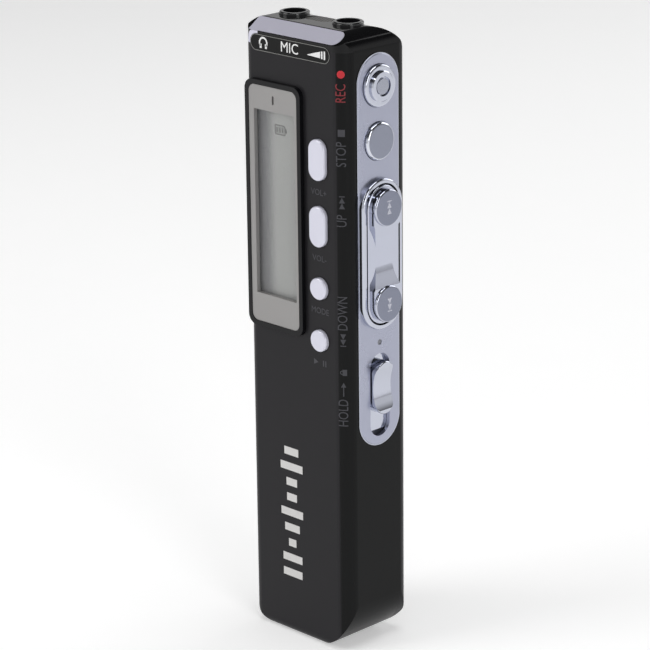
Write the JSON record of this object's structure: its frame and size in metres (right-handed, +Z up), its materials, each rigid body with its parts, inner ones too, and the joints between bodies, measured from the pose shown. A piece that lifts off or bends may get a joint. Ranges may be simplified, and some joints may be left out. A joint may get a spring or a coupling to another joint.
{
  "type": "voice recorder",
  "caption": "Slim upright voice recorder: black case with raised display, silver key strip with track rocker and hold slider, top sockets and a sliding battery door.",
  "frame": {"origin": "on the flat foot the recorder stands on, at the middle of the case's width and depth", "axes": "+Z up the case towards the sockets, -Y out of the display face, +X out of the key strip"},
  "size_m": [0.024, 0.0145, 0.1005],
  "materials": {
    "case_satin": "satin",
    "cap_gloss": "gloss",
    "silver_band": "satin",
    "print_plate": "gloss",
    "display_frame_grey": "satin",
    "clear_window": "clear",
    "display_cell": "matt",
    "light_guide": "matt",
    "contact_rubber": "matt",
    "strip_silver": "satin",
    "chrome_bright": "bright",
    "key_silver": "satin",
    "steel": "brushed",
    "board_green": "satin",
    "flex_amber": "satin",
    "chip_black": "matt",
    "capacitor_tan": "matt",
    "lamp_red": "clear",
    "socket_black": "gloss",
    "foam": "matt",
    "cone_paper": "matt",
    "cell_jacket": "satin"
  },
  "bodies": {
    "case": {"front_shell": "case_satin", "rear_shell": "case_satin", "top_cap": "cap_gloss", "top_trim": "silver_band", "port_label_plate": "print_plate", "display_rim": "cap_gloss", "display_frame": "display_frame_grey", "display_window": "clear_window", "display_glass": "display_cell", "display_backlight": "light_guide", "display_contact_strip": "contact_rubber", "front_key_switches": "chip_black", "key_strip": "strip_silver", "rocker_surround": "chrome_bright", "rocker_pin": "steel", "side_key_flex": "flex_amber", "side_key_switches": "steel", "hold_switch_body": "steel", "record_lamp_lens": "lamp_red", "record_lamp": "lamp_red", "headphone_socket": "socket_black", "microphone_socket": "socket_black", "mic_grille": "steel", "mic_capsule": "steel", "mic_boot": "contact_rubber", "main_board": "board_green", "controller_chip": "chip_black", "memory_chip": "chip_black", "clock_crystal": "steel", "capacitors": "capacitor_tan", "usb_socket": "steel", "usb_contacts": "socket_black", "speaker": "steel", "speaker_cone": "cone_paper", "speaker_gasket": "foam", "battery_cell": "cell_jacket", "positive_contact": "steel", "negative_spring": "steel", "case_screws": "steel"},
    "volume_up": {"volume_up_key": "key_silver"},
    "volume_down": {"volume_down_key": "key_silver"},
    "mode": {"mode_key": "key_silver"},
    "play": {"play_key": "key_silver"},
    "record": {"record_key": "chrome_bright", "record_key_insert": "chrome_bright"},
    "stop": {"stop_key": "chrome_bright"},
    "rocker": {"track_rocker": "chrome_bright"},
    "hold": {"hold_slider": "chrome_bright", "hold_lever": "chip_black"},
    "door": {"battery_door": "case_satin"}
  },
  "joints": [
    {"name": "volume_up_press", "type": "slide", "parent": "case", "child": "volume_up", "axis": [0, 1, 0], "range_m": [0, 0.00035], "stiffness_N_per_m": 600},
    {"name": "volume_down_press", "type": "slide", "parent": "case", "child": "volume_down", "axis": [0, 1, 0], "range_m": [0, 0.00035], "stiffness_N_per_m": 600},
    {"name": "mode_press", "type": "slide", "parent": "case", "child": "mode", "axis": [0, 1, 0], "range_m": [0, 0.00035], "stiffness_N_per_m": 600},
    {"name": "play_press", "type": "slide", "parent": "case", "child": "play", "axis": [0, 1, 0], "range_m": [0, 0.00035], "stiffness_N_per_m": 600},
    {"name": "record_press", "type": "slide", "parent": "case", "child": "record", "axis": [-1, 0, 0], "range_m": [0, 0.0004], "stiffness_N_per_m": 600},
    {"name": "stop_press", "type": "slide", "parent": "case", "child": "stop", "axis": [-1, 0, 0], "range_m": [0, 0.0004], "stiffness_N_per_m": 600},
    {"name": "rocker_tilt", "type": "hinge", "parent": "case", "child": "rocker", "pos_m": [0.00955, 0.0003, 0.065], "axis": [0, 1, 0], "range_deg": [-2.5, 2.5], "stiffness_Nm_per_rad": 0.03},
    {"name": "hold_slide", "type": "slide", "parent": "case", "child": "hold", "axis": [0, 0, -1], "range_m": [0, 0.0032]},
    {"name": "door_slide", "type": "slide", "parent": "case", "child": "door", "axis": [0, 0, -1], "range_m": [0, 0.054]}
  ]
}
